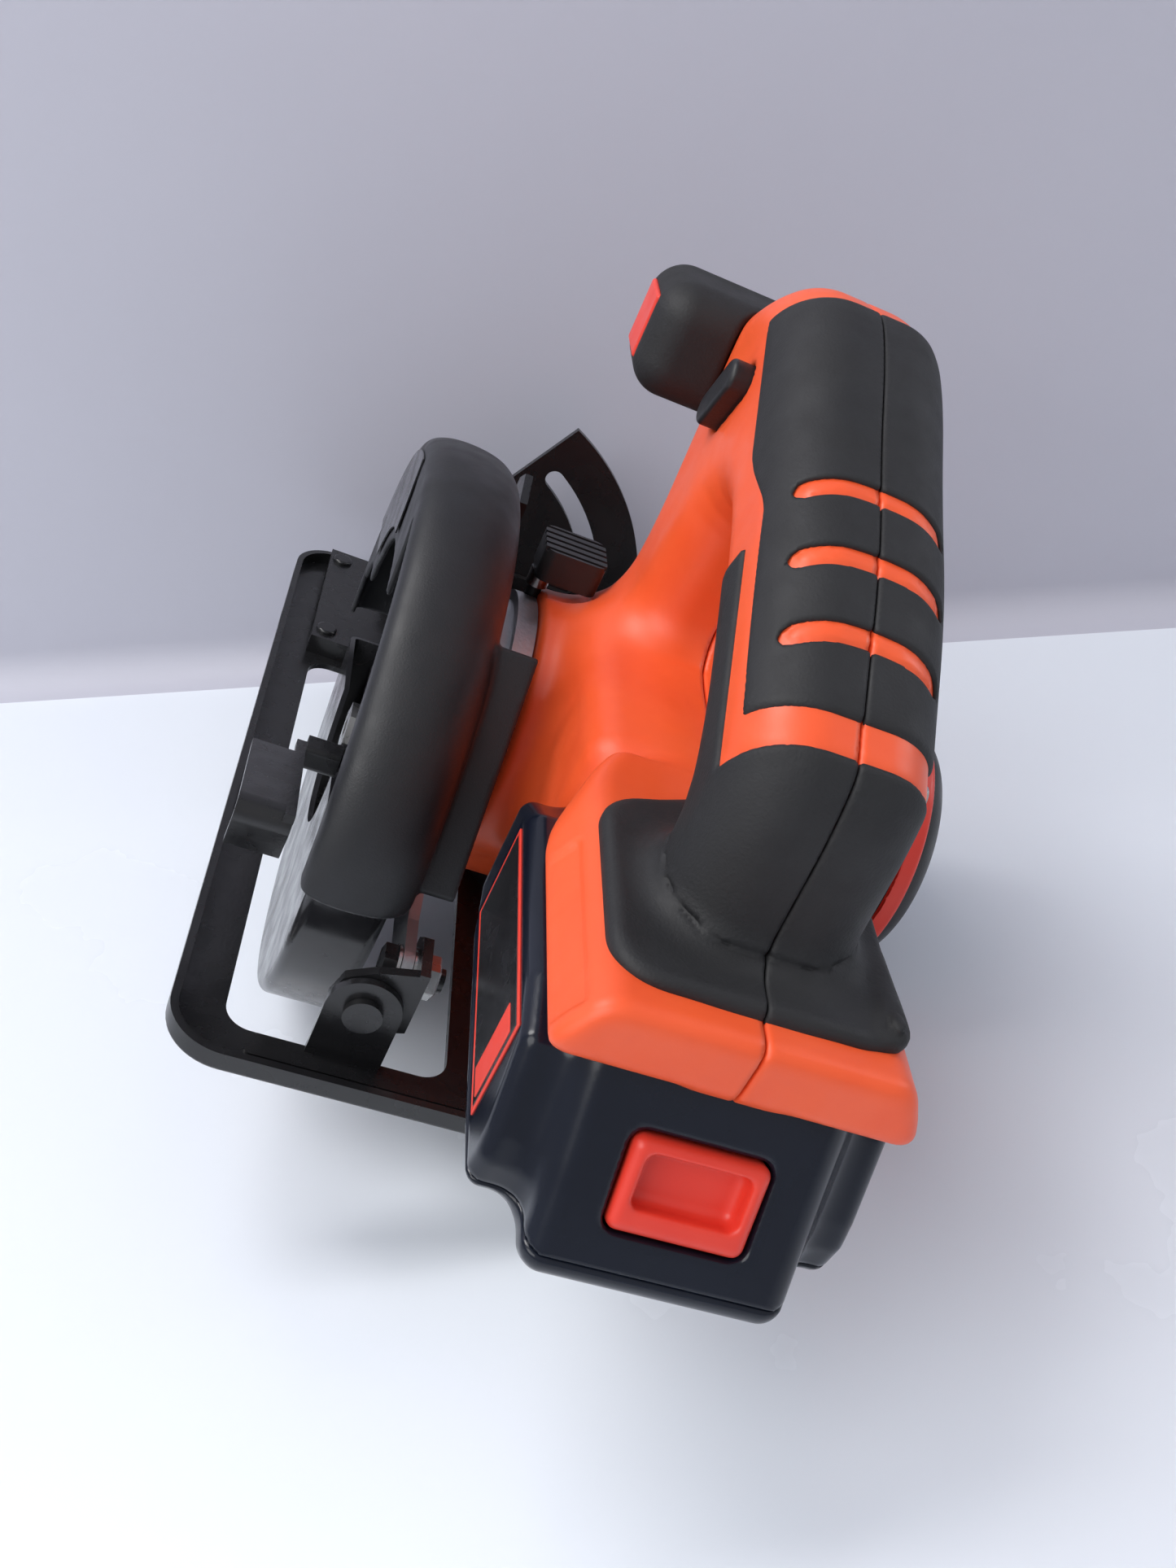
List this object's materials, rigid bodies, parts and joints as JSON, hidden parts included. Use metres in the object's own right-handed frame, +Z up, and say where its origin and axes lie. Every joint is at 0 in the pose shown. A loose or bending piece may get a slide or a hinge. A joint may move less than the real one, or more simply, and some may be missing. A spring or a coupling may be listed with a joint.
{
  "type": "circular saw",
  "caption": "Cordless circular saw: blade and guards on the left, D handle over a slide-in battery, tilting shoe with bevel quadrant and depth setting.",
  "frame": {"origin": "on the shoe's sole, in the housing's split plane, straight below the blade's axis", "axes": "+X tool's right, towards the motor; +Y cutting direction, along the shoe; +Z up, off the work"},
  "size_m": [0.1815, 0.334, 0.2395],
  "materials": {
    "black_steel": "satin black paint",
    "bright_steel": "zinc plated",
    "bearing_steel": "ground",
    "blade_steel": "ground",
    "cast_aluminium": "die cast",
    "guard_plastic": "fine texture",
    "lower_guard_plastic": "polished",
    "orange_shell": "satin",
    "orange_red": "satin",
    "black_rubber": "fine grain",
    "black_plastic": "fine texture",
    "battery_plastic": "gloss",
    "label_film": "film",
    "ferrite": "sintered",
    "copper_winding": "enamelled",
    "cell_wrap": "shrink film",
    "brass_contact": "bright"
  },
  "bodies": {
    "shoe": {"shoe": "black_steel", "bevel_quadrant": "black_steel", "quadrant_rivets": "bright_steel", "bevel_rivets": "bright_steel"},
    "bevel_frame": {"rear_bevel_bracket": "black_steel", "front_bevel_bracket": "black_steel", "bevel_bolt": "bright_steel", "depth_pivot_bolt": "bright_steel", "pivot_washers": "bright_steel", "depth_pivot_nut": "bright_steel"},
    "bevel_knob": {"bevel_knob": "black_plastic"},
    "saw_body": {"gear_case": "cast_aluminium", "gear_cover": "cast_aluminium", "gear_case_screws": "bright_steel", "upper_guard": "guard_plastic", "guard_label": "label_film", "guard_return_spring": "bright_steel", "spindle_bearings": "bearing_steel", "housing_left": "orange_shell", "housing_right": "orange_shell", "overmould_left": "black_rubber", "overmould_right": "black_rubber", "aux_grip": "black_rubber", "aux_grip_inlay": "orange_shell", "motor_can": "bearing_steel", "motor_magnets": "ferrite", "motor_end_bell": "black_plastic", "brushes": "ferrite", "motor_bearings": "bearing_steel", "end_cap": "black_plastic", "end_cap_ring": "orange_red", "switch_module": "black_plastic", "terminal_block": "black_plastic", "housing_screws": "bright_steel", "depth_lock_bolt": "bright_steel", "spindle_lock_spring": "bright_steel"},
    "depth_lever": {"depth_lever": "black_plastic"},
    "spindle": {"spindle": "bearing_steel", "spindle_gear": "bearing_steel", "inner_flange": "bearing_steel", "outer_flange": "bearing_steel", "blade": "blade_steel", "blade_bolt": "bright_steel"},
    "rotor": {"motor_shaft": "bearing_steel", "motor_pinion": "bearing_steel", "armature": "copper_winding", "commutator": "copper_winding", "fan": "black_plastic"},
    "lower_guard": {"lower_guard": "lower_guard_plastic", "retract_lever": "black_steel"},
    "trigger": {"trigger": "black_plastic"},
    "lock_off": {"lock_off_button": "black_plastic"},
    "spindle_lock": {"spindle_lock_button": "black_plastic"},
    "battery": {"battery_upper_case": "battery_plastic", "battery_lower_case": "battery_plastic", "battery_cells": "cell_wrap", "battery_contacts": "brass_contact", "battery_labels": "label_film"},
    "battery_latch": {"battery_latch_button": "orange_red"}
  },
  "joints": [
    {"name": "bevel_tilt", "type": "hinge", "parent": "shoe", "child": "bevel_frame", "pos_m": [-0.0545, 0, 0.019], "axis": [0, -1, 0], "range_deg": [0, 45]},
    {"name": "bevel_knob_turn", "type": "hinge", "parent": "bevel_frame", "child": "bevel_knob", "pos_m": [0.0049, 0.143, 0.0274], "axis": [0, 1, 0], "range_deg": [0, 180]},
    {"name": "depth_swing", "type": "hinge", "parent": "bevel_frame", "child": "saw_body", "pos_m": [0, -0.082, 0.025], "axis": [1, 0, 0], "range_deg": [0, 18]},
    {"name": "depth_lever_turn", "type": "hinge", "parent": "saw_body", "child": "depth_lever", "pos_m": [-0.033, 0.09, 0.025], "axis": [1, 0, 0], "range_deg": [0, 60]},
    {"name": "spindle_spin", "type": "hinge", "parent": "saw_body", "child": "spindle", "pos_m": [-0.065, 0, 0.033], "axis": [1, 0, 0], "continuous": true},
    {"name": "rotor_spin", "type": "hinge", "parent": "saw_body", "child": "rotor", "pos_m": [0, -0.008, 0.0569], "axis": [1, 0, 0], "continuous": true},
    {"name": "guard_retract", "type": "hinge", "parent": "saw_body", "child": "lower_guard", "pos_m": [-0.065, 0, 0.033], "axis": [-1, 0, 0], "range_deg": [0, 120], "stiffness_Nm_per_rad": 0.06, "springref_deg": -57.3},
    {"name": "trigger_pull", "type": "slide", "parent": "saw_body", "child": "trigger", "axis": [0, -0.45, 0.893], "range_m": [0, 0.005], "stiffness_N_per_m": 400, "springref_m": -0.004},
    {"name": "lock_off_slide", "type": "slide", "parent": "saw_body", "child": "lock_off", "axis": [1, 0, 0], "range_m": [-0.003, 0.003], "stiffness_N_per_m": 300},
    {"name": "spindle_lock_press", "type": "slide", "parent": "saw_body", "child": "spindle_lock", "axis": [0, 0, -1], "range_m": [0, 0.003], "stiffness_N_per_m": 400, "springref_m": -0.003, "deforming": ["spindle_lock_spring"]},
    {"name": "battery_removal", "type": "slide", "parent": "saw_body", "child": "battery", "axis": [0, -1, 0], "range_m": [0, 0.11]},
    {"name": "battery_latch_press", "type": "slide", "parent": "battery", "child": "battery_latch", "axis": [0, 0.9084, -0.4182], "range_m": [0, 0.003], "stiffness_N_per_m": 400, "springref_m": -0.004}
  ],
  "couplings": [
    {"joint": "rotor_spin", "follows": "spindle_spin", "ratio": -4.7273}
  ]
}
